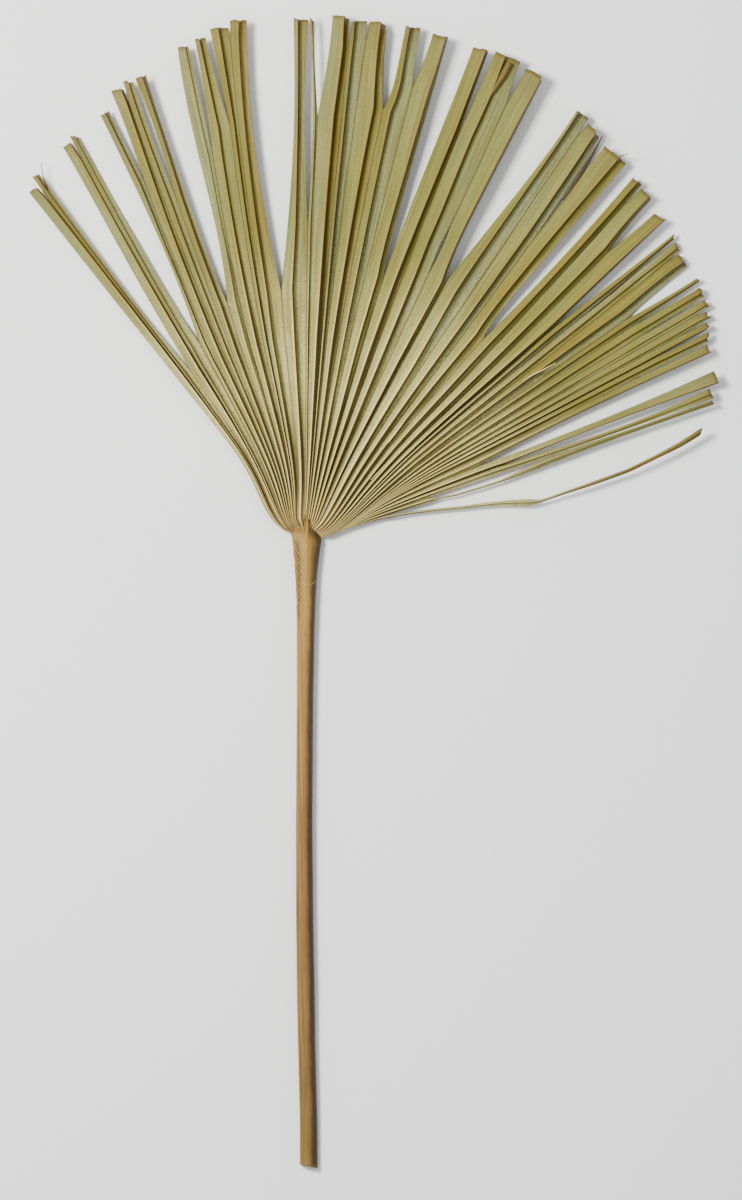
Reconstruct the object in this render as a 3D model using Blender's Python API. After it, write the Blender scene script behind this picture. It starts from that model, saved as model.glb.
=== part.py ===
"""Dried fan palm leaf, cut and trimmed, lying flat with its underside up.

Metres, +Z up. The stalk runs towards -Y and the fan opens towards +Y.
The leaf rests on the cut end of the stalk and on one low pleat at each side of the fan.
"""

import math

import bpy
import numpy as np

# Fan layout. Angles are in degrees from +Y, positive towards +X, round the hub.
FAN_START_RADIUS = 0.0150
LAYOUT_RADIUS = 0.134
MIN_SLIT_DEG = 0.26
STATIONS = 26
STATION_POWER = 1.30

# How the creases splay at the hub, by the layout angle: the bearing where they start, the length
# over which the splay dies away, and the power of its curve.
SPLAY = np.array([
    (-39.0, -69.4, 0.0240, 1.5),
    (-31.7, -61.5, 0.0180, 1.1),
    (-23.0, -46.0, 0.0125, 1.0),
    (-10.1, -27.5, 0.0120, 1.0),
    (-6.0, -22.0, 0.0115, 1.0),
    (0.0, -3.5, 0.0115, 1.0),
    (9.3, 10.4, 0.0120, 1.0),
    (14.4, 17.6, 0.0120, 1.0),
    (19.2, 25.5, 0.0140, 1.0),
    (24.0, 32.0, 0.0150, 1.0),
    (28.8, 39.6, 0.0155, 1.0),
    (36.0, 54.5, 0.0200, 1.0),
    (43.8, 67.5, 0.0210, 1.0),
    (57.0, 79.5, 0.0240, 1.0),
    (60.0, 81.0, 0.0215, 1.0),
    (66.0, 83.4, 0.0165, 1.0),
    (71.4, 85.0, 0.0120, 1.0),
    (75.8, 86.2, 0.0092, 1.0),
])

# Pleats and sheet
SHEET = 0.00125
PLEAT_SLOPE = 1.45
PLEAT_DEPTH_BASE = 0.0016
PLEAT_DEPTH_OUT = 0.0070
PLEAT_GROW_END = 0.120

# Height of the valley lines above the surface
VALLEY_AT_HUB = 0.0050
VALLEY_CLEAR = 0.0022
REST_RADIUS = 0.262
REST_WIDTH = 0.030

# One row for each fold, from the left edge to the right edge of the fan.
# First the crease at its left: angle at the layout radius, angle and radius where it parts,
# and the angle at the tip of the edge to the left and of the fold's own edge.
# Then the ridge's angle at the layout radius and at the tip, the radius of the tip,
# and how far the tip rises over the low pleats.
FOLDS = [
    (-39.0, -39.0, 9.000, -38.7, -38.7, -37.7, -38.0, 0.2955, 0.0040),
    (-36.9, -37.3, 0.285, -37.4, -37.2, -36.0, -36.8, 0.3025, 0.0050),
    (-34.7, -34.6, 0.136, -36.2, -31.9, -33.4, -31.3, 0.3080, 0.0000),
    (-32.0, -30.6, 0.295, -30.7, -30.5, -31.2, -30.0, 0.3105, 0.0000),
    (-28.7, -28.6, 0.149, -29.5, -25.95, -27.7, -25.3, 0.3145, 0.0030),
    (-26.8, -24.4, 0.261, -24.7, -23.6, -25.2, -22.4, 0.3250, 0.0040),
    (-24.0, -22.1, 0.315, -22.1, -21.9, -23.0, -21.3, 0.3275, 0.0050),
    (-21.7, -20.9, 0.243, -20.7, -20.4, -20.6, -19.6, 0.3275, 0.0070),
    (-18.9, -18.5, 0.166, -19.05, -14.7, -17.2, -13.8, 0.3385, 0.0060),
    (-16.2, -13.7, 0.261, -13.4, -12.6, -14.8, -12.1, 0.3415, 0.0060),
    (-12.3, -10.4, 0.280, -11.3, -10.7, -11.5, -9.8, 0.3460, 0.0070),
    (-10.9, -8.6, 0.341, -8.6, -8.4, -9.7, -7.4, 0.3490, 0.0075),
    (-6.1, -5.7, 0.166, -6.45, -1.4, -3.4, -0.9, 0.3470, 0.0060),
    (0.0, 0.35, 0.208, 0.36, 0.38, 0.5, 0.65, 0.3470, 0.0075),
    (0.9, 1.6, 0.283, 0.95, 2.9, 3.0, 4.2, 0.3495, 0.0060),
    (4.4, 5.0, 0.330, 4.8, 5.0, 5.1, 5.7, 0.3470, 0.0050),
    (6.0, 6.9, 0.336, 6.8, 7.0, 8.0, 8.3, 0.3480, 0.0055),
    (9.3, 10.2, 0.291, 8.9, 11.0, 10.8, 11.5, 0.3490, 0.0060),
    (12.5, 13.3, 0.310, 12.75, 14.1, 14.2, 15.3, 0.3480, 0.0070),
    (16.4, 16.6, 0.182, 15.9, 18.8, 18.9, 20.0, 0.3475, 0.0080),
    (20.2, 20.7, 0.291, 20.6, 21.3, 22.6, 22.5, 0.3490, 0.0085),
    (25.0, 24.8, 0.320, 24.3, 25.1, 27.6, 26.9, 0.3455, 0.0080),
    (28.3, 28.6, 0.193, 27.35, 32.35, 32.0, 32.6, 0.3385, 0.0060),
    (34.0, 34.0, 0.326, 34.0, 34.2, 36.2, 35.6, 0.3335, 0.0055),
    (38.0, 37.3, 0.251, 36.2, 37.3, 39.4, 39.1, 0.3295, 0.0060),
    (41.7, 41.7, 0.178, 40.6, 42.2, 43.5, 43.0, 0.3260, 0.0040),
    (44.8, 43.7, 0.308, 43.6, 43.8, 46.7, 45.2, 0.3240, 0.0030),
    (47.8, 46.6, 0.278, 45.6, 47.0, 49.0, 48.3, 0.3205, 0.0030),
    (49.8, 49.6, 0.213, 48.55, 50.4, 50.7, 50.7, 0.3185, 0.0010),
    (51.5, 51.15, 0.285, 51.0, 51.3, 52.6, 52.0, 0.3165, 0.0000),
    (53.5, 52.6, 0.305, 52.5, 52.7, 54.4, 53.8, 0.3135, 0.0000),
    (55.9, 55.7, 0.260, 54.6, 56.35, 56.6, 56.7, 0.3145, 0.0015),
    (57.4, 57.0, 0.259, 56.95, 57.5, 58.5, 58.2, 0.3120, 0.0025),
    (59.3, 58.9, 0.260, 58.8, 59.1, 60.2, 59.7, 0.3110, 0.0030),
    (60.7, 60.3, 0.300, 60.2, 60.5, 61.3, 61.0, 0.3080, 0.0035),
    (61.9, 61.6, 0.285, 61.5, 61.7, 62.5, 62.2, 0.3040, 0.0040),
    (63.1, 62.7, 0.262, 62.6, 62.9, 63.9, 63.5, 0.3010, 0.0040),
    (65.0, 64.4, 0.209, 64.0, 64.2, 65.9, 65.0, 0.2980, 0.0050),
    (67.3, 67.3, 0.122, 65.45, 67.7, 68.5, 68.9, 0.2950, 0.0070),
    (69.4, 69.6, 0.141, 69.5, 69.65, 70.6, 70.4, 0.2880, 0.0060),
]

# Slits that open in a way of their own, by the number of the fold to their right:
# how fast the left and the right edge swing out, and how far each bows on the way, in degrees.
SLIT_SHAPES = {
    2: (5.0, 1.4, 0.0, 0.0),
    4: (9.0, 4.0, 0.0, 0.0),
    7: (1.7, 1.7, 0.2, 0.2),
    8: (10.0, 5.0, 0.2, -1.0),
    12: (4.0, 2.8, 0.95, 0.0),
    13: (3.0, 3.0, 0.45, 0.55),
    17: (1.7, 6.0, 0.0, 0.0),
    19: (14.0, 1.45, 0.0, 0.0),
    22: (9.0, 1.85, 0.0, 0.0),
    24: (0.8, 1.0, 0.0, 0.0),
    25: (14.0, 5.0, 0.0, 0.2),
    28: (1.4, 1.6, 0.0, 0.0),
    38: (4.0, 8.0, 0.0, 0.4),
    39: (4.0, 1.0, 0.2, 0.9),
}
PLAIN_SLIT = (1.7, 1.7, 0.0, 0.0)

# Loose strands at the right side: radius where each parts from its left neighbour,
# valley angle at the layout radius, then rows of radius, middle angle and width.
STRANDS = [
    (0.084, 71.8, 0.0060, [
        (0.084, 73.0, 0.0014), (0.105, 74.0, 0.0014), (0.134, 73.8, 0.0018),
        (0.168, 72.5, 0.0048), (0.200, 72.0, 0.0036), (0.240, 71.75, 0.0026),
        (0.265, 71.65, 0.0028), (0.287, 71.6, 0.0030)]),
    (0.060, 74.2, 0.0090, [
        (0.060, 75.8, 0.0019), (0.067, 76.3, 0.0020), (0.092, 78.1, 0.0021), (0.105, 78.9, 0.0022),
        (0.128, 79.7, 0.0028), (0.143, 80.5, 0.0041), (0.149, 80.9, 0.0048), (0.153, 81.0, 0.0040),
        (0.158, 81.1, 0.0022), (0.164, 80.8, 0.0018), (0.176, 80.1, 0.0020), (0.201, 79.0, 0.0027),
        (0.220, 78.2, 0.0028), (0.242, 76.9, 0.0029), (0.258, 76.0, 0.0038), (0.274, 74.9, 0.0042)]),
]
RIGHT_EDGE_ANGLE = 75.8
STRAND_BLEND = 0.010

# Stalk: distance along Y from the hub, left edge, right edge, underside and crest height.
STALK = [
    (-0.4208, -0.0040, 0.0080, 0.0000, 0.0074),
    (-0.3900, -0.0041, 0.0075, 0.0000, 0.0076),
    (-0.3600, -0.0048, 0.0067, 0.0004, 0.0080),
    (-0.3360, -0.0054, 0.0061, 0.0007, 0.0082),
    (-0.3090, -0.0060, 0.0058, 0.0010, 0.0085),
    (-0.2820, -0.0064, 0.0052, 0.0012, 0.0087),
    (-0.2560, -0.0066, 0.0047, 0.0014, 0.0088),
    (-0.2220, -0.0067, 0.0042, 0.0016, 0.0090),
    (-0.1890, -0.0067, 0.0040, 0.0017, 0.0091),
    (-0.1480, -0.0064, 0.0043, 0.0018, 0.0093),
    (-0.1080, -0.0060, 0.0047, 0.0018, 0.0095),
    (-0.0800, -0.0060, 0.0050, 0.0018, 0.0097),
    (-0.0620, -0.0061, 0.0055, 0.0018, 0.0099),
    (-0.0500, -0.0061, 0.0060, 0.0018, 0.0100),
    (-0.0400, -0.0063, 0.0067, 0.0018, 0.0100),
    (-0.0320, -0.0067, 0.0071, 0.0018, 0.0100),
    (-0.0240, -0.0075, 0.0075, 0.0018, 0.0100),
    (-0.0170, -0.0079, 0.0083, 0.0018, 0.0099),
    (-0.0110, -0.0083, 0.0091, 0.0018, 0.0098),
    (-0.0060, -0.0087, 0.0097, 0.0018, 0.0096),
    (-0.0030, -0.0092, 0.0105, 0.0018, 0.0094),
    (0.0000, -0.0104, 0.0124, 0.0019, 0.0091),
    (0.0025, -0.0119, 0.0140, 0.0020, 0.0088),
    (0.0050, -0.0133, 0.0137, 0.0021, 0.0085),
    (0.0075, -0.0125, 0.0125, 0.0023, 0.0082),
    (0.0098, -0.0108, 0.0108, 0.0025, 0.0079),
    (0.0118, -0.0085, 0.0085, 0.0027, 0.0076),
    (0.0133, -0.0059, 0.0059, 0.0030, 0.0073),
    (0.0142, -0.0033, 0.0033, 0.0034, 0.0069),
]
STALK_TOP_POINTS = 12
STALK_UNDER_POINTS = 7
KEEL_HEIGHT = 0.0015
KEEL_HALF_WIDTH = 0.0024
KEEL_START = -0.045
KEEL_POINT = 0.0122


def ease(value):
    value = min(max(value, 0.0), 1.0)
    return value * value * (3.0 - 2.0 * value)


def crease_angle(layout_angle, parting_angle, radius, start):
    """Angle of a crease from the hub to the radius where it parts."""
    bearing, length, power = (float(np.interp(layout_angle, SPLAY[:, 0], SPLAY[:, k])) for k in (1, 2, 3))
    curl = math.exp(-((radius - FAN_START_RADIUS) / length) ** power)
    angle = layout_angle + (bearing - layout_angle) * curl
    if start > LAYOUT_RADIUS:
        share = min(max((radius - LAYOUT_RADIUS) / (start - LAYOUT_RADIUS), 0.0), 1.0)
        angle += (parting_angle - layout_angle) * share
    return angle


def clear_width(line, other, station):
    """Width of a pleat face at a station, square to both of its creases."""
    widths = []
    for here, there in ((line, other), (other, line)):
        before = here[max(station - 1, 0)]
        after = here[min(station + 1, STATIONS)]
        run = after - before
        offset = there[station] - before
        widths.append(abs(run[0] * offset[1] - run[1] * offset[0]) / float(np.hypot(*run)))
    return float(min(widths))


def strand_row(rows, radius):
    radii = [row[0] for row in rows]
    middle = float(np.interp(radius, radii, [row[1] for row in rows]))
    width = float(np.interp(radius, radii, [row[2] for row in rows]))
    return middle, width


# Creases between neighbouring folds
creases = []
for number, fold in enumerate(FOLDS):
    shape = SLIT_SHAPES.get(number, PLAIN_SLIT)
    creases.append(dict(layout=fold[0], parting=fold[1], start=fold[2], tips=(fold[3], fold[4]),
                        speeds=shape[:2], bows=shape[2:]))
creases.append(dict(layout=STRANDS[0][1], parting=STRANDS[0][1], start=STRANDS[0][0],
                    tips=(71.1, 71.4), speeds=(1.7, 1.7), bows=(0.0, 0.0)))
creases.append(dict(layout=STRANDS[1][1], parting=STRANDS[1][1], start=STRANDS[1][0]))
creases.append(dict(layout=RIGHT_EDGE_ANGLE, parting=RIGHT_EDGE_ANGLE, start=9.0))

reaches = [fold[7] for fold in FOLDS] + [strand[3][-1][0] for strand in STRANDS]
lifts = [fold[8] for fold in FOLDS] + [strand[2] for strand in STRANDS]
fold_count = len(reaches)
steps = [(k / STATIONS) ** STATION_POWER for k in range(STATIONS + 1)]


def part_station(number):
    """Station at which a crease parts, kept away from both ends."""
    start = creases[number]["start"]
    if start > 1.0:
        return STATIONS + 1
    reach = 0.5 * (reaches[number - 1] + reaches[number])
    share = (start - FAN_START_RADIUS) / (reach - FAN_START_RADIUS)
    nearest = min(range(STATIONS + 1), key=lambda k: abs(steps[k] - share))
    return min(max(nearest, 3), STATIONS - 1)


part_at = [part_station(number) for number in range(fold_count + 1)]


def edge_radius(number, station, reach):
    """Radius of a station on a crease, set so that one station falls on the parting point."""
    if part_at[number] > STATIONS:
        return FAN_START_RADIUS + (reach - FAN_START_RADIUS) * steps[station]
    start = creases[number]["start"]
    pivot = steps[part_at[number]]
    if station <= part_at[number]:
        return FAN_START_RADIUS + (start - FAN_START_RADIUS) * steps[station] / pivot
    return start + (reach - start) * (steps[station] - pivot) / (1.0 - pivot)


def edge_angle(number, side, radius, reach):
    """Angle of the edge at one side of a crease: -1 is the fold to its left, +1 the fold to its right."""
    crease = creases[number]
    folds = len(FOLDS)
    fold = number if side > 0 else number - 1
    settled = crease_angle(crease["layout"], crease["parting"], radius, crease["start"])
    if fold >= folds:
        strand = STRANDS[fold - folds]
        if radius <= strand[0]:
            return settled
        middle, width = strand_row(strand[3], radius)
        loose = middle - side * math.degrees(0.5 * width / radius)
        return settled + (loose - settled) * ease((radius - strand[0]) / STRAND_BLEND)
    if crease["start"] > 1.0:
        share = min(max((radius - LAYOUT_RADIUS) / (reach - LAYOUT_RADIUS), 0.0), 1.0)
        return settled + (crease["tips"][1] - crease["layout"]) * share
    if radius <= crease["start"]:
        return settled
    at_start = crease_angle(crease["layout"], crease["parting"], crease["start"], crease["start"])
    pick = 1 if side > 0 else 0
    share = min((radius - crease["start"]) / (reach - crease["start"]), 1.0)
    swing = (crease["tips"][pick] - at_start) * (1.0 - (1.0 - share) ** crease["speeds"][pick])
    bow = crease["bows"][pick] * 4.0 * share * (1.0 - share)
    least = 0.5 * MIN_SLIT_DEG * ease(share * 4.0)
    middle = at_start + (0.5 * sum(crease["tips"]) - at_start) * share
    angle = at_start + swing + side * bow
    if side > 0:
        return max(angle, min(middle, angle + least) + least)
    return min(angle, max(middle, angle - least) - least)


def valley_height(radius, lift, rests):
    """Height of a valley line, low over the resting places and lifted towards the tips."""
    hub = VALLEY_AT_HUB * math.exp(-(radius - FAN_START_RADIUS) / 0.060)
    rise = lift * ease((radius - 0.060) / 0.230)
    near = math.exp(-((radius - REST_RADIUS) / REST_WIDTH) ** 2) if rests else 0.0
    clear = VALLEY_CLEAR * (1.0 - near)
    settle = hub * (1.0 - ease((radius - 0.10) / 0.10)) + clear + rise
    return SHEET + settle


rng = np.random.default_rng(41)
tip_slant = rng.uniform(-0.0011, 0.0011, size=(fold_count, 3))

# Plan positions of left edge, ridge and right edge of every fold
plan = np.zeros((fold_count, 3, STATIONS + 1, 2))
for fold in range(fold_count):
    reach = reaches[fold]
    shared_left = 0.5 * (reach + reaches[max(fold - 1, 0)])
    shared_right = 0.5 * (reach + reaches[min(fold + 1, fold_count - 1)])
    for station in range(STATIONS + 1):
        left_open = station > part_at[fold]
        right_open = station > part_at[fold + 1]
        left_reach = reach if left_open or fold == 0 else shared_left
        right_reach = reach if right_open or fold == fold_count - 1 else shared_right
        left_r = edge_radius(fold, station, left_reach)
        right_r = edge_radius(fold + 1, station, right_reach)
        left_a = edge_angle(fold, +1, left_r, left_reach)
        right_a = edge_angle(fold + 1, -1, right_r, right_reach)
        share = steps[station] ** 0.8
        if fold < len(FOLDS):
            row = FOLDS[fold]
            after = creases[fold + 1]
            inner = (row[5] - row[0]) / (after["layout"] - row[0])
            outer = (row[6] - row[4]) / (after["tips"][0] - row[4])
        else:
            inner = 0.5
            outer = 0.5
        ridge_share = min(max(inner + (outer - inner) * share, 0.16), 0.84)
        ridge_a = left_a + (right_a - left_a) * ridge_share
        ridge_r = left_r + (right_r - left_r) * ridge_share
        end = 1.0 if station == STATIONS else 0.0
        for column, radius, angle in ((0, left_r, left_a), (1, ridge_r, ridge_a), (2, right_r, right_a)):
            if column != 1 and not (left_open if column == 0 else right_open):
                far = radius
            else:
                far = radius + end * tip_slant[fold, column]
            turn = math.radians(angle)
            plan[fold, column, station] = (far * math.sin(turn), far * math.cos(turn))

# Heights: ridges first, then valleys and free edges no steeper than the pleat slope
resting = {2, 3, 29, 30}
low = np.zeros((fold_count, 3, STATIONS + 1))
high = np.zeros((fold_count, STATIONS + 1))
for fold in range(fold_count):
    for station in range(STATIONS + 1):
        radius = float(np.hypot(*plan[fold, 1, station]))
        left_run = clear_width(plan[fold, 0], plan[fold, 1], station)
        right_run = clear_width(plan[fold, 1], plan[fold, 2], station)
        grow = ease((radius - FAN_START_RADIUS) / (PLEAT_GROW_END - FAN_START_RADIUS))
        depth = PLEAT_DEPTH_BASE + (PLEAT_DEPTH_OUT - PLEAT_DEPTH_BASE) * grow
        depth = min(depth, PLEAT_SLOPE * max(left_run, right_run))
        floor = valley_height(radius, lifts[fold], fold in resting)
        high[fold, station] = floor + depth
        low[fold, 0, station] = max(floor, high[fold, station] - PLEAT_SLOPE * left_run)
        low[fold, 2, station] = max(floor, high[fold, station] - PLEAT_SLOPE * right_run)
for fold in range(1, fold_count):
    for station in range(STATIONS + 1):
        if station <= part_at[fold]:
            meet = max(low[fold - 1, 2, station], low[fold, 0, station])
            low[fold - 1, 2, station] = meet
            low[fold, 0, station] = meet


# Blade as one closed sheet
vertices = []
faces = []
top = -np.ones((fold_count, 3, STATIONS + 1), dtype=int)
for fold in range(fold_count):
    for column in range(3):
        for station in range(STATIONS + 1):
            if column == 0 and fold > 0 and station <= part_at[fold]:
                top[fold, 0, station] = top[fold - 1, 2, station]
                continue
            x, y = plan[fold, column, station]
            z = high[fold, station] if column == 1 else low[fold, column, station]
            top[fold, column, station] = len(vertices)
            vertices.append((x, y, z))
            vertices.append((x, y, z - SHEET))


def sheet_face(a, b, c):
    faces.append((a, b, c))
    faces.append((c + 1, b + 1, a + 1))


def wall(a, b):
    faces.append((a, a + 1, b + 1, b))


for fold in range(fold_count):
    for station in range(STATIONS):
        for column in (0, 1):
            a = int(top[fold, column, station])
            b = int(top[fold, column + 1, station])
            c = int(top[fold, column + 1, station + 1])
            d = int(top[fold, column, station + 1])
            if column == 0:
                sheet_face(a, b, c)
                sheet_face(a, c, d)
            else:
                sheet_face(a, b, d)
                sheet_face(b, c, d)
        if fold == 0 or station >= part_at[fold]:
            wall(int(top[fold, 0, station + 1]), int(top[fold, 0, station]))
        if fold == fold_count - 1 or station >= part_at[fold + 1]:
            wall(int(top[fold, 2, station]), int(top[fold, 2, station + 1]))
    for column in (0, 1):
        wall(int(top[fold, column, 0]), int(top[fold, column + 1, 0]))
        wall(int(top[fold, column + 1, STATIONS]), int(top[fold, column, STATIONS]))
blade_vertices = np.array(vertices)
blade_faces = faces

# Stalk as stacked sections with a rounded crest, a flatter underside and a keel at the head
stalk_vertices = []
stalk_faces = []
ring_size = STALK_TOP_POINTS + STALK_UNDER_POINTS
for along, left, right, under, crest in STALK:
    middle = 0.5 * (left + right)
    half = 0.5 * (right - left)
    keel = KEEL_HEIGHT * ease((along - KEEL_START) / 0.030) * ease((KEEL_POINT - along) / 0.014)
    belt = under + 0.42 * (crest - under)
    for number in range(STALK_TOP_POINTS):
        turn = math.pi * number / (STALK_TOP_POINTS - 1)
        x = middle - half * math.cos(turn)
        z = belt + (crest - belt) * math.sin(turn) ** 0.86
        z += keel * math.exp(-(x / KEEL_HALF_WIDTH) ** 2)
        stalk_vertices.append((x, along, z))
    for number in range(1, STALK_UNDER_POINTS + 1):
        turn = math.pi * number / (STALK_UNDER_POINTS + 1)
        x = middle + half * 0.94 * math.cos(turn)
        z = belt - (belt - under) * min(1.0, 1.55 * math.sin(turn) ** 0.8)
        stalk_vertices.append((x, along, z))
for ring in range(len(STALK) - 1):
    for number in range(ring_size):
        after = (number + 1) % ring_size
        a = ring * ring_size + number
        b = ring * ring_size + after
        c = (ring + 1) * ring_size + after
        d = (ring + 1) * ring_size + number
        stalk_faces.append((a, b, c))
        stalk_faces.append((a, c, d))
stalk_faces.append(tuple(range(ring_size))[::-1])
stalk_faces.append(tuple((len(STALK) - 1) * ring_size + number for number in range(ring_size)))
stalk_vertices = np.array(stalk_vertices)

# The origin is under the middle of the whole leaf
every = np.vstack([blade_vertices, stalk_vertices])
middle = 0.5 * (every.max(axis=0) + every.min(axis=0))
shift = np.array([middle[0], middle[1], every[:, 2].min()])

for item in list(bpy.data.objects):
    bpy.data.objects.remove(item, do_unlink=True)


def make_node(name, points, polygons, colour, roughness):
    mesh = bpy.data.meshes.new(name)
    mesh.from_pydata([tuple(point) for point in points - shift], [], polygons)
    mesh.validate(verbose=False)
    material = bpy.data.materials.new(name)
    material.use_nodes = True
    shader = material.node_tree.nodes["Principled BSDF"]
    shader.inputs["Base Color"].default_value = (*colour, 1.0)
    shader.inputs["Roughness"].default_value = roughness
    mesh.materials.append(material)
    node = bpy.data.objects.new(name, mesh)
    bpy.context.scene.collection.objects.link(node)
    return node


make_node("blade", blade_vertices, blade_faces, (0.376, 0.352, 0.125), 0.62)
make_node("petiole", stalk_vertices, stalk_faces, (0.318, 0.216, 0.078), 0.55)
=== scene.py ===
"""A dried fan palm leaf, cut and trimmed, lying with its underside up on a pale table."""

import math

import bpy
import numpy as np
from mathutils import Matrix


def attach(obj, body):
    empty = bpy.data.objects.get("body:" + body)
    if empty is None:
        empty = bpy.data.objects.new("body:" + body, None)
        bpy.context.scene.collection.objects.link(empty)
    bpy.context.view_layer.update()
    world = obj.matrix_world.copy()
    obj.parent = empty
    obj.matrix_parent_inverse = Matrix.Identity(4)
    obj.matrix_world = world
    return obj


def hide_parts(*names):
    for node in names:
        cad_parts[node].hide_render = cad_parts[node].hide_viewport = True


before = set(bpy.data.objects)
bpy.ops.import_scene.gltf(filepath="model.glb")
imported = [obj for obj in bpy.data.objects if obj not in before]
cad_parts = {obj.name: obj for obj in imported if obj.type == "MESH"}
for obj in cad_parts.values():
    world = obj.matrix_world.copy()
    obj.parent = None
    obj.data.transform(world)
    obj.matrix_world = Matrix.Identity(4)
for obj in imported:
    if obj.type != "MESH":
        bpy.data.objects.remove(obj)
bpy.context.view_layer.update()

# The stalk
# The leaf's own stem, dry and woody, rounded towards the camera and flatter towards the table.
# It flares into a head with a raised keel that runs out in a small point among the ribs.

# Everything on the leaf is placed from the hub, the point that all the ribs spring from.
HUB = np.array([-0.04550, 0.03549])

# Distance along the stalk from the hub, left edge, right edge, underside and crest, in metres
STALK_SIZES = np.array([
    (-0.4208, -0.0040, 0.0080, 0.0000, 0.0074),
    (-0.3900, -0.0041, 0.0077, 0.0000, 0.0076),
    (-0.3600, -0.0048, 0.0069, 0.0004, 0.0080),
    (-0.3360, -0.0054, 0.0063, 0.0007, 0.0082),
    (-0.3090, -0.0060, 0.0060, 0.0010, 0.0085),
    (-0.2560, -0.0066, 0.0050, 0.0014, 0.0088),
    (-0.1890, -0.0067, 0.0044, 0.0017, 0.0091),
    (-0.1080, -0.0061, 0.0050, 0.0018, 0.0095),
    (-0.0620, -0.0061, 0.0058, 0.0018, 0.0099),
    (-0.0400, -0.0064, 0.0067, 0.0018, 0.0101),
    (-0.0240, -0.0073, 0.0076, 0.0018, 0.0101),
    (-0.0110, -0.0083, 0.0092, 0.0018, 0.0100),
    (-0.0060, -0.0087, 0.0098, 0.0018, 0.0098),
    (-0.0030, -0.0090, 0.0104, 0.0018, 0.0096),
    (0.0000, -0.0093, 0.0102, 0.0019, 0.0092),
    (0.0025, -0.0098, 0.0098, 0.0020, 0.0086),
    (0.0050, -0.0096, 0.0088, 0.0022, 0.0080),
    (0.0080, -0.0078, 0.0078, 0.0027, 0.0074),
    (0.0105, -0.0050, 0.0054, 0.0034, 0.0069),
    (0.0130, -0.0016, 0.0030, 0.0046, 0.0064),
])
STALK_ROWS = 300
STALK_AROUND = 144


def ease(value):
    """Smooth step: 3 v squared minus 2 v cubed, with v held between 0 and 1."""
    value = np.clip(value, 0.0, 1.0)
    return value * value * (3.0 - 2.0 * value)


def bell(value):
    """Bell curve: e to the power of minus v squared."""
    return np.exp(-value * value)


def ripple(x, y, seed):
    """Soft noise between about -1 and 1: six sines of x and y, each finer and weaker than the last."""
    rng = np.random.default_rng(seed)
    total = np.zeros(np.broadcast(x, y).shape)
    for octave in range(6):
        across_rate, along_rate = rng.uniform(0.6, 1.7, 2) * 1.55 ** octave
        total += np.sin(across_rate * x + along_rate * y + rng.uniform(0.0, 6.28)) / 1.5 ** octave
    return total / 2.2


def paint(red, green, blue):
    """The linear colour of an eight-bit one: each part over 255, to the power 2.2."""
    return tuple((part / 255.0) ** 2.2 for part in (red, green, blue)) + (1.0,)


def add_piece(name, points, quads, masks, run):
    """A mesh from whole arrays, with its masks as point attributes and its run as a UV map."""
    mesh = bpy.data.meshes.new(name)
    mesh.vertices.add(len(points))
    mesh.vertices.foreach_set("co", np.ascontiguousarray(points, dtype=np.float32).ravel())
    mesh.loops.add(quads.size)
    mesh.loops.foreach_set("vertex_index", quads.astype(np.int32).ravel())
    mesh.polygons.add(len(quads))
    mesh.polygons.foreach_set("loop_start", np.arange(0, quads.size, 4, dtype=np.int32))
    mesh.update(calc_edges=True)
    for key, values in masks.items():
        layer = mesh.attributes.new(key, "FLOAT", "POINT")
        layer.data.foreach_set("value", np.ascontiguousarray(values, dtype=np.float32).ravel())
    layer = mesh.uv_layers.new(name="run")
    layer.data.foreach_set("uv", run[quads.ravel()].astype(np.float32).ravel())
    mesh.polygons.foreach_set("use_smooth", np.ones(len(quads), dtype=bool))
    mesh.validate()
    piece = bpy.data.objects.new(name, mesh)
    bpy.context.scene.collection.objects.link(piece)
    return piece


def tube_faces(points):
    """The index of a tube's points and its quads: each row is a ring whose last point joins its first."""
    index = np.arange(points[..., 0].size).reshape(points.shape[:2])
    after = np.roll(index, -1, axis=1)
    return index, np.stack([index[:-1], after[:-1], after[1:], index[1:]], axis=-1).reshape(-1, 4)


def fit(piece, material, node):
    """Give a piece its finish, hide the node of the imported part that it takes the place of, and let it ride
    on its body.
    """
    piece.data.materials.append(material)
    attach(piece, "root")
    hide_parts(node)


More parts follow.
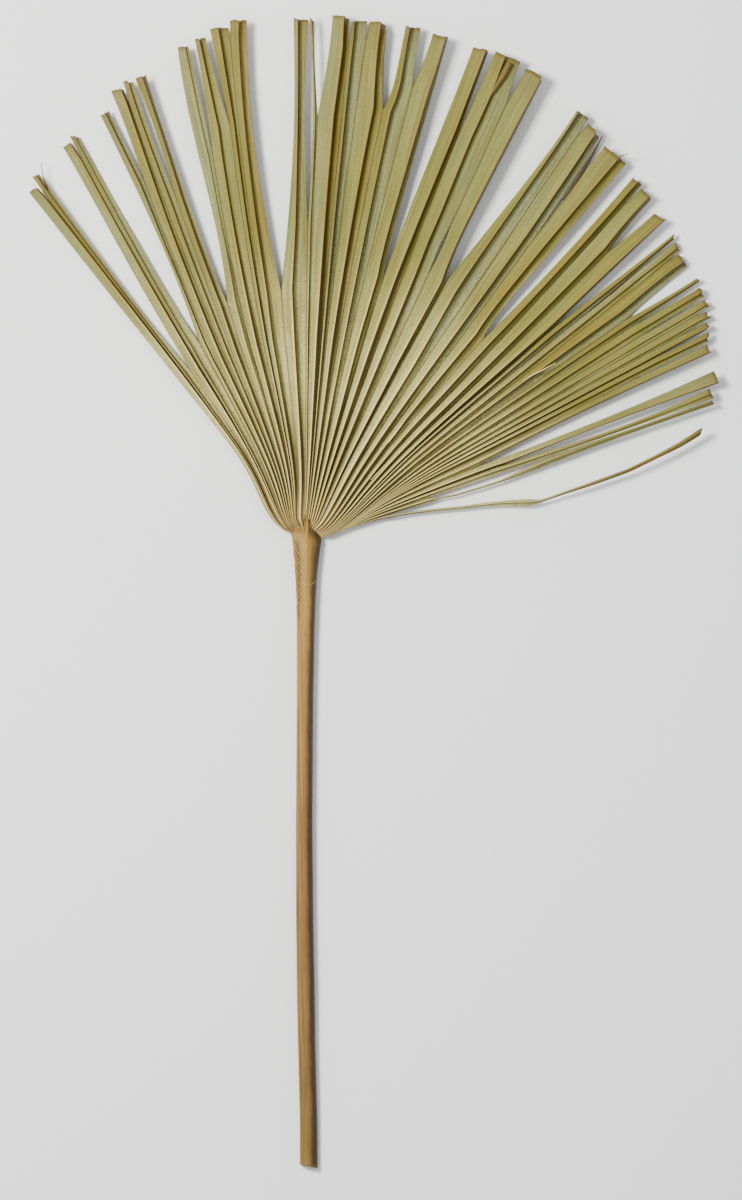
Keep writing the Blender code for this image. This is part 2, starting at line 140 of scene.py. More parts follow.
def stalk_surface(rows, around):
    """The stalk as a grid: v runs along it and u round its section. The top is half a flattened ellipse,
    the underside a shallow tray, and the keel is a bell curve that narrows to the point at the head."""
    share = np.linspace(0.0, 1.0, rows)
    along = STALK_SIZES[0, 0] + (STALK_SIZES[-1, 0] - STALK_SIZES[0, 0]) * (1.0 - (1.0 - share) ** 1.9)
    left, right, under, crest = (np.interp(along, STALK_SIZES[:, 0], STALK_SIZES[:, k]) for k in range(1, 5))
    ragged = ease((along + 0.060) / 0.02) * ease(-along / 0.004)
    left = left + 0.00022 * ripple(along * 700.0, 0.0, 11) * ragged
    turn = np.linspace(0.0, 2.0 * math.pi, around, endpoint=False)
    across = -np.cos(turn)[None, :]
    lift = np.sin(turn)[None, :]
    middle = (0.5 * (left + right))[:, None]
    half = (0.5 * (right - left))[:, None]
    under = under[:, None]
    crest = crest[:, None]
    belt = under + 0.42 * (crest - under)
    place = along[:, None]
    x = middle + half * across
    z = np.where(lift >= 0.0, belt + (crest - belt) * np.abs(lift) ** 0.86,
                 belt - (belt - under) * np.minimum(1.0, 1.5 * np.abs(lift) ** 0.8))
    on_top = lift > 0.0
    keel_width = 0.0026 - 0.0017 * ease((place + 0.004) / 0.015)
    keel_height = 0.0014 * ease((place + 0.070) / 0.050) + 0.0031 * ease((place + 0.004) / 0.011)
    keel_middle = 0.0007 + 0.0005 * ease(place / 0.012)
    keel = bell((x - keel_middle) / keel_width)
    z = z + np.where(on_top, keel_height * keel, 0.0)
    inset = 0.0029 - 0.0017 * ease((-place - 0.010) / 0.050)
    pitted = bell((x - left[:, None] - inset) / 0.0012) * ease((place + 0.066) / 0.03) * ease(-place / 0.004)
    hollows = np.clip(1.3 * ripple(x * 2100.0, place * 1300.0, 5)
                      + 1.3 * ripple(x * 2300.0, place * -1700.0, 6), 0.0, 1.0)
    z = z - np.where(on_top, 0.0009 * hollows * pitted, 0.0)
    rays = np.cos(36.0 * np.arctan2(x, place + 0.0060)) * ease((place - 0.0005) / 0.005)
    z = z + np.where(on_top, 0.00028 * rays * (1.0 - 0.9 * keel), 0.0)
    z = z + np.where(lift > 0.15, 0.00010 * ripple(across * 9.0, place * 55.0, 3), 0.0)
    cut = ease(1.0 - share / 0.02)[:, None]
    y = place - 0.0011 * across * cut
    points = np.stack([x + HUB[0], y + HUB[1], z], axis=-1)
    shade_edge = 0.02 + 0.16 * ease((place + 0.11) / 0.09) - 0.05 * ripple(place * 260.0, x * 300.0, 8)
    masks = {
        "head": np.broadcast_to(ease((place + 0.340) / 0.320), x.shape),
        "keel": keel * ease((place + 0.090) / 0.05),
        "pits": np.clip(2.5 * hollows * pitted, 0.0, 1.0) * on_top,
        "blush": bell((across - 0.10) / 0.28) * ease((-0.050 - place) / 0.04) * ease((place + 0.400) / 0.15),
        "spot": bell((x + 0.0007) / 0.0008) * bell((place + 0.0650) / 0.0011) * on_top,
        # painted shade: the furrows between the rays on the head are painted darker
        "rays": np.clip(-rays, 0.0, 1.0) * (1.0 - keel),
        # painted shade: the right side of the stalk, away from the light, is painted dark brown
        "painted_shade_flank": ease((across - shade_edge) / 0.62),
        # painted shade: the hollow right of the keel at the head is painted dark
        "recess_shade": bell((x - 0.0062) / 0.0030) * bell((place - 0.0030) / 0.0042),
        "cut": np.broadcast_to(ease(1.0 - share / 0.004)[:, None], x.shape),
    }
    run = np.stack([np.broadcast_to(turn[None, :] * 3.0, x.shape), y * 1000.0], axis=-1)
    return points, masks, run


points, masks, run = stalk_surface(STALK_ROWS, STALK_AROUND)
index, quads = tube_faces(points)
half_round = STALK_AROUND // 2
# Both ends close with a strip of faces from side to side
for end, facing in ((index[0], 1), (index[-1], -1)):
    upper = end[:half_round + 1]
    lower = np.concatenate([end[:1], end[:half_round - 1:-1]])
    cap = np.stack([upper[:-1], lower[:-1], lower[1:], upper[1:]], axis=-1)
    quads = np.concatenate([quads, cap[:, ::-facing]])
stalk = add_piece("stalk", points.reshape(-1, 3), quads[:, ::-1],
                  {key: values.ravel() for key, values in masks.items()}, run.reshape(-1, 2))


def fibre_group():
    """Shader group: dry fibres drawn out along the run, once coarse and once fine, and slow patches."""
    group = bpy.data.node_groups.new("dry_fibres", "ShaderNodeTree")
    for key, default in (("Coarse across", 1.4), ("Fine across", 5.0), ("Along", 0.02), ("Seed", 0.0)):
        socket = group.interface.new_socket(name=key, in_out="INPUT", socket_type="NodeSocketFloat")
        socket.default_value = default
    for key in ("Coarse", "Fine", "Patch", "Speckle"):
        group.interface.new_socket(name=key, in_out="OUTPUT", socket_type="NodeSocketFloat")
    nodes, links = group.nodes, group.links
    source = nodes.new("NodeGroupInput")
    result = nodes.new("NodeGroupOutput")
    coords = nodes.new("ShaderNodeUVMap")
    coords.uv_map = "run"
    parts = nodes.new("ShaderNodeSeparateXYZ")
    links.new(coords.outputs["UV"], parts.inputs[0])
    for key, scale_name in (("Coarse", "Coarse across"), ("Fine", "Fine across")):
        wide = nodes.new("ShaderNodeMath")
        wide.operation = "MULTIPLY"
        links.new(parts.outputs["X"], wide.inputs[0])
        links.new(source.outputs[scale_name], wide.inputs[1])
        long = nodes.new("ShaderNodeMath")
        long.operation = "MULTIPLY"
        links.new(parts.outputs["Y"], long.inputs[0])
        links.new(source.outputs["Along"], long.inputs[1])
        place = nodes.new("ShaderNodeCombineXYZ")
        links.new(wide.outputs[0], place.inputs["X"])
        links.new(long.outputs[0], place.inputs["Y"])
        links.new(source.outputs["Seed"], place.inputs["Z"])
        noise = nodes.new("ShaderNodeTexNoise")
        noise.inputs["Scale"].default_value = 1.0
        noise.inputs["Detail"].default_value = 3.0
        links.new(place.outputs[0], noise.inputs["Vector"])
        links.new(noise.outputs[0], result.inputs[key])
    spot = nodes.new("ShaderNodeTexCoord")
    for key, scale in (("Patch", 34.0), ("Speckle", 1100.0)):
        noise = nodes.new("ShaderNodeTexNoise")
        noise.inputs["Scale"].default_value = scale
        noise.inputs["Detail"].default_value = 3.0
        links.new(spot.outputs["Object"], noise.inputs["Vector"])
        links.new(noise.outputs[0], result.inputs[key])
    return group


dry_fibres = fibre_group()


def fibres(tree, coarse, fine, along_scale, seed):
    """The dry fibre group with its own values: coarse, fine, patch and speckle."""
    node = tree.nodes.new("ShaderNodeGroup")
    node.node_tree = dry_fibres
    node.inputs["Coarse across"].default_value = coarse
    node.inputs["Fine across"].default_value = fine
    node.inputs["Along"].default_value = along_scale
    node.inputs["Seed"].default_value = seed
    return [node.outputs[key] for key in ("Coarse", "Fine", "Patch", "Speckle")]


def mask(tree, key, strength=1.0):
    """A mask of the piece, times a strength."""
    node = tree.nodes.new("ShaderNodeAttribute")
    node.attribute_name = key
    return times(tree, node.outputs["Fac"], strength)


def times(tree, first, second):
    """The product of a value and a value or number."""
    node = tree.nodes.new("ShaderNodeMath")
    node.operation = "MULTIPLY"
    tree.links.new(first, node.inputs[0])
    if isinstance(second, float):
        node.inputs[1].default_value = second
    else:
        tree.links.new(second, node.inputs[1])
    return node.outputs[0]


def stretch(tree, value, low, high, to_low, to_high):
    """The value mapped from low..high to a new range and held inside it."""
    node = tree.nodes.new("ShaderNodeMapRange")
    tree.links.new(value, node.inputs["Value"])
    node.inputs["From Min"].default_value = low
    node.inputs["From Max"].default_value = high
    node.inputs["To Min"].default_value = to_low
    node.inputs["To Max"].default_value = to_high
    return node.outputs["Result"]


def wash(tree, share, under, over):
    """One colour laid over another by a share. The lower one is a colour or what is painted so far."""
    node = tree.nodes.new("ShaderNodeMix")
    node.data_type = "RGBA"
    tree.links.new(share, node.inputs[0])
    if isinstance(under, tuple):
        node.inputs[6].default_value = under
    else:
        tree.links.new(under, node.inputs[6])
    node.inputs[7].default_value = over
    return node.outputs[2]


def relief(tree, height, distance, strength, before=None):
    """A bump from a height, stacked on an earlier one where there is one."""
    node = tree.nodes.new("ShaderNodeBump")
    node.inputs["Strength"].default_value = strength
    node.inputs["Distance"].default_value = distance
    tree.links.new(height, node.inputs["Height"])
    if before is not None:
        tree.links.new(before, node.inputs["Normal"])
    return node.outputs["Normal"]


stalk_skin = bpy.data.materials.new("dry_stalk")
stalk_skin.use_nodes = True
tree = stalk_skin.node_tree
shader = tree.nodes["Principled BSDF"]
coarse, fine, patch, speckle = fibres(tree, 0.9, 4.5, 0.018, 4.0)
colour = wash(tree, mask(tree, "head"), paint(106, 80, 27), paint(143, 110, 44))
colour = wash(tree, stretch(tree, patch, 0.42, 0.62, 0.0, 0.30), colour, paint(132, 96, 42))
colour = wash(tree, stretch(tree, coarse, 0.50, 0.68, 0.0, 0.50), colour, paint(84, 54, 20))
colour = wash(tree, stretch(tree, coarse, 0.50, 0.34, 0.0, 0.35), colour, paint(150, 124, 66))
colour = wash(tree, stretch(tree, fine, 0.54, 0.70, 0.0, 0.35), colour, paint(84, 58, 24))
colour = wash(tree, mask(tree, "keel", 0.45), colour, paint(164, 132, 66))
colour = wash(tree, mask(tree, "blush", 0.50), colour, paint(128, 76, 34))
colour = wash(tree, mask(tree, "spot", 0.75), colour, paint(132, 58, 36))
# Painted shade: the stalk's right side is painted dark brown
colour = wash(tree, mask(tree, "painted_shade_flank", 0.90), colour, paint(52, 34, 14))
colour = wash(tree, mask(tree, "pits", 0.95), colour, paint(50, 30, 12))
# Painted shade in the furrows between the rays
colour = wash(tree, mask(tree, "rays", 0.70), colour, paint(74, 52, 24))
# Painted shade in the hollow right of the keel
colour = wash(tree, mask(tree, "recess_shade", 0.85), colour, paint(54, 36, 12))
colour = wash(tree, mask(tree, "cut", 0.50), colour, paint(96, 76, 38))
tree.links.new(colour, shader.inputs["Base Color"])
tree.links.new(stretch(tree, fine, 0.3, 0.7, 0.42, 0.60), shader.inputs["Roughness"])
shader.inputs["Specular IOR Level"].default_value = 0.35
normal = relief(tree, fine, 0.0004, 0.45)
normal = relief(tree, speckle, 0.0002, 0.30, normal)
tree.links.new(normal, shader.inputs["Normal"])
fit(stalk, stalk_skin, "petiole")

# The thread
# A pale thread, thinner than half a millimetre, lies across the stalk below its head.
# It follows the stalk's own surface from one side to the other.

# Rows of place across and along from the hub, in metres
THREAD = np.array([(-0.0040, -0.0299), (-0.0016, -0.0306), (0.0005, -0.0311), (0.0030, -0.0311),
                   (0.0050, -0.0303), (0.0066, -0.0288)])
THREAD_PLACE = -0.0305
THREAD_RADIUS = 0.00013


def thread_surface(rows, around, radius):
    """A thin tube along the thread's places, laid on the stalk: v runs along it and u round it."""
    steps = np.linspace(0.0, 1.0, len(THREAD))
    share = np.linspace(0.0, 1.0, rows)
    x, place = (np.interp(share, steps, THREAD[:, k]) for k in (0, 1))
    surface = stalk_surface(STALK_ROWS, STALK_AROUND)[0]
    nearest = np.abs(surface[:, 0, 1] - HUB[1] - THREAD_PLACE).argmin()
    crown = surface[nearest, 1:half_round]
    z = np.interp(x, crown[:, 0] - HUB[0], crown[:, 2]) + 0.6 * radius
    turn = np.linspace(0.0, 2.0 * math.pi, around, endpoint=False)[None, :]
    return np.stack([x[:, None] + HUB[0] + 0.0 * turn, place[:, None] + HUB[1] + radius * np.cos(turn),
                     z[:, None] + radius * np.sin(turn)], axis=-1)


points = thread_surface(60, 8, THREAD_RADIUS)
index, quads = tube_faces(points)
# Three quads close each end of the eight-sided tube
caps = index[0][np.array([[0, 3, 2, 1], [0, 5, 4, 3], [0, 7, 6, 5]])]
caps = np.concatenate([caps, caps[:, ::-1] + index[-1, 0]])
thread = add_piece("thread", points.reshape(-1, 3), np.concatenate([quads, caps]), {},
                   points.reshape(-1, 3)[:, :2] * 1000.0)
thread_skin = bpy.data.materials.new("pale_thread")
thread_skin.use_nodes = True
thread_shader = thread_skin.node_tree.nodes["Principled BSDF"]
thread_shader.inputs["Base Color"].default_value = paint(176, 156, 104)
thread_shader.inputs["Roughness"].default_value = 0.7
thread.data.materials.append(thread_skin)
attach(thread, "root")

# The fan
# One pleated sheet that grew with the stalk. Its midribs stand up towards the camera, its far edge
# was trimmed round with scissors, and it has split along its pleats into fingers of one to three folds.

# One row for each fold, left to right, in degrees from straight up and metres from the hub:
# the crease at its left halfway out, where and at what radius it parts, the tip angle of the edge
# left of the slit and of the fold's own edge, the ridge halfway out and at the tip, the tip's radius
# Then its colour, as shares of grey and tan on the left face and on the right face,
# and the width of the furrow beside the ridge, painted dark as shade, in millimetres.
FOLDS = np.array([
    (-39.0, -39.0, 9.000, -38.7, -38.7, -37.15, -37.6, 0.2955, 0.0040, 0.30, 0.05, 0.35, 0.50, 0.5),
    (-36.9, -37.3, 0.285, -37.4, -37.2, -36.3, -36.7, 0.3025, 0.0050, 0.30, 0.55, 0.45, 0.55, 1.0),
    (-34.7, -34.6, 0.136, -36.2, -31.9, -32.4, -30.85, 0.3080, 0.0000, 0.25, 0.05, 0.30, 0.40, 0.3),
    (-32.0, -30.6, 0.295, -30.7, -30.5, -31.2, -30.0, 0.3105, 0.0000, 0.30, 0.20, 0.50, 0.30, 0.6),
    (-28.7, -28.6, 0.149, -29.5, -25.95, -27.7, -25.3, 0.3145, 0.0030, 0.45, 0.10, 0.60, 0.20, 1.0),
    (-26.8, -24.4, 0.261, -24.7, -23.6, -25.2, -22.4, 0.3250, 0.0040, 0.25, 0.30, 0.20, 0.60, 1.4),
    (-24.0, -22.1, 0.315, -22.1, -21.9, -23.0, -21.3, 0.3275, 0.0050, 0.40, 0.20, 0.45, 0.30, 1.0),
    (-21.7, -20.9, 0.243, -20.7, -20.4, -20.6, -19.6, 0.3275, 0.0070, 0.25, 0.30, 0.40, 0.60, 2.0),
    (-18.9, -18.5, 0.166, -19.05, -14.7, -17.2, -13.8, 0.3385, 0.0060, 0.55, 0.00, 0.55, 0.05, 0.2),
    (-16.2, -13.7, 0.261, -13.4, -12.6, -14.35, -12.1, 0.3415, 0.0060, 0.30, 0.20, 0.25, 0.40, 1.8),
    (-12.3, -10.4, 0.280, -11.3, -10.7, -11.5, -9.8, 0.3460, 0.0070, 0.30, 0.40, 0.30, 0.50, 1.4),
    (-10.9, -8.6, 0.341, -8.6, -8.4, -9.7, -7.4, 0.3490, 0.0075, 0.25, 0.50, 0.10, 0.95, 1.6),
    (-6.1, -5.7, 0.166, -6.45, -1.4, -3.4, -0.9, 0.3470, 0.0060, 0.40, 0.10, 0.55, 0.55, 1.4),
    (0.0, 0.35, 0.208, 0.36, 0.38, 0.5, 0.65, 0.3470, 0.0075, 0.70, 0.10, 0.60, 0.10, 0.6),
    (0.9, 1.6, 0.283, 0.95, 2.9, 3.0, 4.2, 0.3495, 0.0060, 0.30, 0.05, 0.10, 0.90, 3.2),
    (4.4, 5.0, 0.330, 4.8, 5.0, 4.95, 5.35, 0.3470, 0.0050, 0.80, 0.20, 0.95, 0.15, 1.6),
    (6.0, 6.9, 0.336, 6.8, 7.0, 7.6, 8.3, 0.3480, 0.0055, 0.15, 0.05, 0.20, 0.90, 2.8),
    (9.3, 10.2, 0.291, 8.9, 11.0, 10.8, 11.5, 0.3490, 0.0060, 0.45, 0.40, 0.90, 0.00, 1.2),
    (12.5, 13.3, 0.310, 12.75, 14.1, 14.9, 15.65, 0.3480, 0.0070, 0.15, 0.05, 0.10, 0.35, 1.6),
    (16.4, 16.6, 0.182, 15.9, 18.8, 18.7, 20.3, 0.3475, 0.0080, 0.10, 0.30, 0.10, 0.80, 2.8),
    (20.2, 20.7, 0.291, 20.6, 21.3, 22.6, 22.5, 0.3490, 0.0085, 0.05, 0.10, 0.90, 0.10, 2.2),
    (25.0, 24.8, 0.320, 24.3, 25.1, 27.6, 27.15, 0.3455, 0.0080, 0.15, 0.05, 0.20, 0.60, 1.2),
    (28.3, 28.6, 0.193, 27.35, 32.35, 32.0, 32.6, 0.3385, 0.0060, 0.15, 0.15, 1.00, 0.05, 1.4),
    (34.0, 34.0, 0.326, 34.0, 34.2, 36.2, 35.6, 0.3335, 0.0055, 0.20, 0.05, 0.80, 0.10, 1.8),
    (38.0, 37.3, 0.251, 36.2, 37.3, 39.8, 39.5, 0.3295, 0.0060, 0.10, 0.35, 0.10, 0.55, 1.8),
    (41.7, 41.7, 0.178, 40.6, 42.2, 43.5, 43.0, 0.3260, 0.0040, 0.15, 0.45, 0.10, 0.25, 1.5),
    (44.8, 43.7, 0.308, 43.6, 43.8, 46.7, 45.2, 0.3240, 0.0030, 0.10, 0.20, 0.15, 0.45, 1.6),
    (47.8, 46.6, 0.278, 45.6, 47.0, 49.3, 48.4, 0.3205, 0.0030, 0.05, 0.35, 0.10, 0.50, 1.2),
    (49.8, 49.6, 0.213, 48.55, 50.4, 50.7, 50.7, 0.3185, 0.0010, 0.20, 0.25, 0.80, 0.10, 1.4),
    (51.5, 51.15, 0.285, 51.0, 51.3, 52.6, 52.0, 0.3165, 0.0000, 0.70, 0.10, 0.20, 0.10, 0.6),
    (53.5, 52.6, 0.305, 52.5, 52.7, 54.4, 53.8, 0.3135, 0.0000, 0.20, 0.75, 0.85, 0.10, 1.2),
    (55.9, 55.7, 0.260, 54.6, 56.35, 56.6, 56.7, 0.3145, 0.0015, 0.40, 0.20, 0.40, 0.20, 0.9),
    (57.4, 57.0, 0.259, 56.95, 57.5, 58.5, 58.2, 0.312, 0.0025, 0.25, 0.10, 0.30, 0.20, 0.8),
    (59.3, 58.9, 0.260, 58.8, 59.1, 60.2, 59.8, 0.311, 0.0030, 0.30, 0.10, 0.40, 0.10, 0.3),
    (60.7, 60.3, 0.300, 60.2, 60.5, 61.5, 61.2, 0.308, 0.0035, 0.40, 0.10, 0.40, 0.10, 0.4),
    (61.9, 61.6, 0.285, 61.5, 61.7, 62.8, 62.4, 0.304, 0.0040, 0.35, 0.10, 0.30, 0.50, 0.9),
    (63.1, 62.7, 0.262, 62.6, 62.9, 63.9, 63.5, 0.301, 0.0040, 0.30, 0.10, 0.20, 0.80, 1.6),
    (65.0, 64.4, 0.209, 64.0, 64.2, 66.3, 65.25, 0.298, 0.0050, 0.30, 0.10, 0.30, 0.60, 0.6),
    (67.3, 67.3, 0.122, 65.45, 67.7, 68.9, 69.35, 0.295, 0.0070, 0.50, 0.05, 0.60, 0.05, 0.4),
    (69.4, 69.6, 0.141, 69.5, 69.65, 70.6, 70.4, 0.288, 0.0060, 0.50, 0.15, 0.40, 0.20, 0.5),
])
# The slits that open in a way of their own, by the fold to their right:
# how fast their left and right edges swing out, and how far each bows on the way, in degrees.
SLITS = {
    2: (5.0, 1.4, 0.0, 0.0), 4: (9.0, 4.0, 0.0, 0.0), 7: (1.7, 1.7, 0.2, 0.2), 8: (10.0, 5.0, 0.2, -1.0),
    12: (4.0, 2.8, 0.95, 0.0), 13: (3.0, 3.0, 0.45, 0.55), 17: (1.7, 6.0, 0.0, 0.0),
    19: (14.0, 1.45, 0.0, 0.0), 22: (9.0, 1.85, 0.0, 0.0), 24: (0.8, 1.0, 0.0, 0.0),
    25: (14.0, 5.0, 0.0, 0.2), 28: (1.4, 1.6, 0.0, 0.0), 38: (4.0, 8.0, 0.0, 0.4),
    39: (4.0, 1.0, 0.20, 0.9), 40: (1.0, 1.0, 0.0, 0.0),
}
PLAIN_SLIT = (1.7, 1.7, 0.0, 0.0)
# A short tear in a crease that is whole on both sides of it: radius, half length and half width in degrees
TEARS = {21: (0.2130, 0.0150, 0.25)}
# Right of the last fold two strands have torn loose along their pleats. For each, the crease at its left
# and the radii from which it runs free and turns brown, its colour, and rows of radius, angle and width.
STRANDS = (
    dict(crease=71.8, free=0.084, browned=9.0, rise=0.0060, colour=(0.60, 0.05, 0.50, 0.10), path=np.array([
        (0.084, 73.0, 0.0014), (0.105, 74.0, 0.0014), (0.134, 73.8, 0.0018), (0.168, 72.5, 0.0048),
        (0.200, 72.0, 0.0036), (0.240, 71.75, 0.0026), (0.265, 71.65, 0.0028), (0.287, 71.6, 0.0030)])),
    dict(crease=74.2, free=0.050, browned=0.148, rise=0.0090, colour=(0.60, 0.20, 0.50, 0.30), path=np.array([
        (0.050, 75.6, 0.0019), (0.067, 76.3, 0.0020), (0.092, 78.1, 0.0021), (0.105, 78.9, 0.0022),
        (0.128, 79.7, 0.0028), (0.143, 80.5, 0.0041), (0.149, 80.9, 0.0048), (0.153, 81.0, 0.0040),
        (0.158, 81.1, 0.0022), (0.164, 80.8, 0.0018), (0.176, 80.1, 0.0020), (0.201, 79.0, 0.0027),
        (0.220, 78.2, 0.0028), (0.242, 76.9, 0.0029), (0.258, 76.0, 0.0038), (0.274, 74.9, 0.0042)])),
)
LAST_CREASE = 75.8
# The slit between the last fold and the first strand, in the same order as a fold's first five values
STRAND_SLIT = (71.8, 71.8, 0.084, 71.1, 71.4)
# The folds that come down lowest, where the solid rests on the table
RESTING_FOLDS = (2, 3, 29, 30)
FAN_START = 0.0137
LAYOUT_RADIUS = 0.134
# How the creases splay at the hub, by the layout angle: bearing at the hub in degrees, the length in
# metres over which it dies away, and the power of the curve
SPLAY = np.array([
    (-39.0, -71.0, 0.0245, 1.5), (-31.7, -63.7, 0.0175, 1.0), (-23.0, -49.0, 0.0118, 1.0),
    (-10.1, -30.0, 0.0115, 1.0), (-6.0, -24.5, 0.0110, 1.0), (0.0, -4.0, 0.0110, 1.0),
    (9.3, 10.5, 0.0120, 1.0), (14.4, 18.0, 0.0120, 1.0), (19.2, 26.2, 0.0140, 1.0),
    (24.0, 33.0, 0.0150, 1.0), (28.8, 40.8, 0.0155, 1.0), (36.0, 57.0, 0.0200, 1.0),
    (43.8, 71.8, 0.0210, 1.0), (57.0, 86.0, 0.0250, 1.0), (60.0, 86.4, 0.0224, 1.0),
    (66.0, 86.7, 0.0162, 1.0), (71.4, 86.9, 0.0113, 1.0), (75.8, 87.0, 0.0084, 1.0),
])
SHEET_THICKNESS = 0.0006
# The pleats open out towards the tips, and some of them lie nearly flat there: the share of depth lost
FLATTER = {0: 0.60, 2: 0.75, 3: 0.50, 5: 0.50, 6: 0.50, 8: 0.80, 9: 0.50, 13: 0.50, 20: 0.45, 29: 0.70,
           32: 0.60, 33: 0.80, 34: 0.75, 35: 0.60, 36: 0.60, 37: 0.60, 38: 0.75, 39: 0.75}
# The ribs begin round the stalk's point: bearing at the hub in degrees and radius in metres
RIB_STARTS = np.array([(-72, 0.0106), (-39, 0.0088), (-17, 0.0076), (-7, 0.0112), (0, 0.0124),
                       (8, 0.0112), (18, 0.0082), (34, 0.0074), (63, 0.0078), (90, 0.0100)])


def crease_line(layout, parting, start, radius):
    """Angle of a crease: its layout angle, plus a spread that dies away from the hub, plus a straight
    drift from the layout radius to the place where it parts."""
    bearing, length, power = (np.interp(layout, SPLAY[:, 0], SPLAY[:, k]) for k in (1, 2, 3))
    reached = np.maximum(radius - FAN_START, 0.0) / length
    angle = layout + (bearing - layout) * np.exp(-reached ** power)
    if start > LAYOUT_RADIUS:
        share = np.clip((radius - LAYOUT_RADIUS) / (start - LAYOUT_RADIUS), 0.0, 1.0)
        angle = angle + (parting - layout) * share
    return angle


def slit_edge(row, number, side, radius, reach):
    """Angle of one edge of a slit: the crease as far as it is whole, then a swing to the tip angle
    that is quick at first, with a bow on the way and never quite closed. A tear adds a bell curve."""
    shape = SLITS.get(number, PLAIN_SLIT)
    layout, parting, start = row[0], row[1], row[2]
    settled = crease_line(layout, parting, start, radius)
    if number in TEARS:
        middle, length, gape = TEARS[number]
        settled = settled + side * gape * np.maximum(bell((radius - middle) / length) - 0.15, 0.0)
    if start > 1.0:
        share = np.clip((radius - LAYOUT_RADIUS) / (reach - LAYOUT_RADIUS), 0.0, 1.0)
        return settled + (row[4] - layout) * share
    at_start = crease_line(layout, parting, start, np.array(start))
    share = np.clip((radius - start) / (reach - start), 0.0, 1.0)
    pick = 1 if side > 0 else 0
    swing = (row[3 + pick] - at_start) * (1.0 - (1.0 - share) ** shape[pick])
    bow = side * shape[2 + pick] * 4.0 * share * (1.0 - share)
    gap = side * 0.03 * ease(share * 4.0)
    return np.where(radius <= start, settled, at_start + swing + bow + gap)


def valley_height(radius, rise, rests):
    """Height of a valley line: high at the hub, low over the resting places, lifted towards the tips."""
    hub = 0.0050 * np.exp(-(radius - FAN_START) / 0.060) * (1.0 - ease((radius - 0.10) / 0.10))
    near = bell((radius - 0.262) / 0.030) if rests else 0.0
    return 0.00125 + hub + 0.0022 * (1.0 - near) + rise * ease((radius - 0.060) / 0.230)


ROWS = 130
LEFT_SHARES = np.array([0.0, 0.03, 0.09, 0.2, 0.34, 0.5, 0.66, 0.8, 0.9, 0.96])
RIGHT_SHARES = np.array([0.0, 0.035, 0.08, 0.14, 0.22, 0.32, 0.46, 0.62, 0.78, 0.91, 0.97, 1.0])
fan_rng = np.random.default_rng(20)


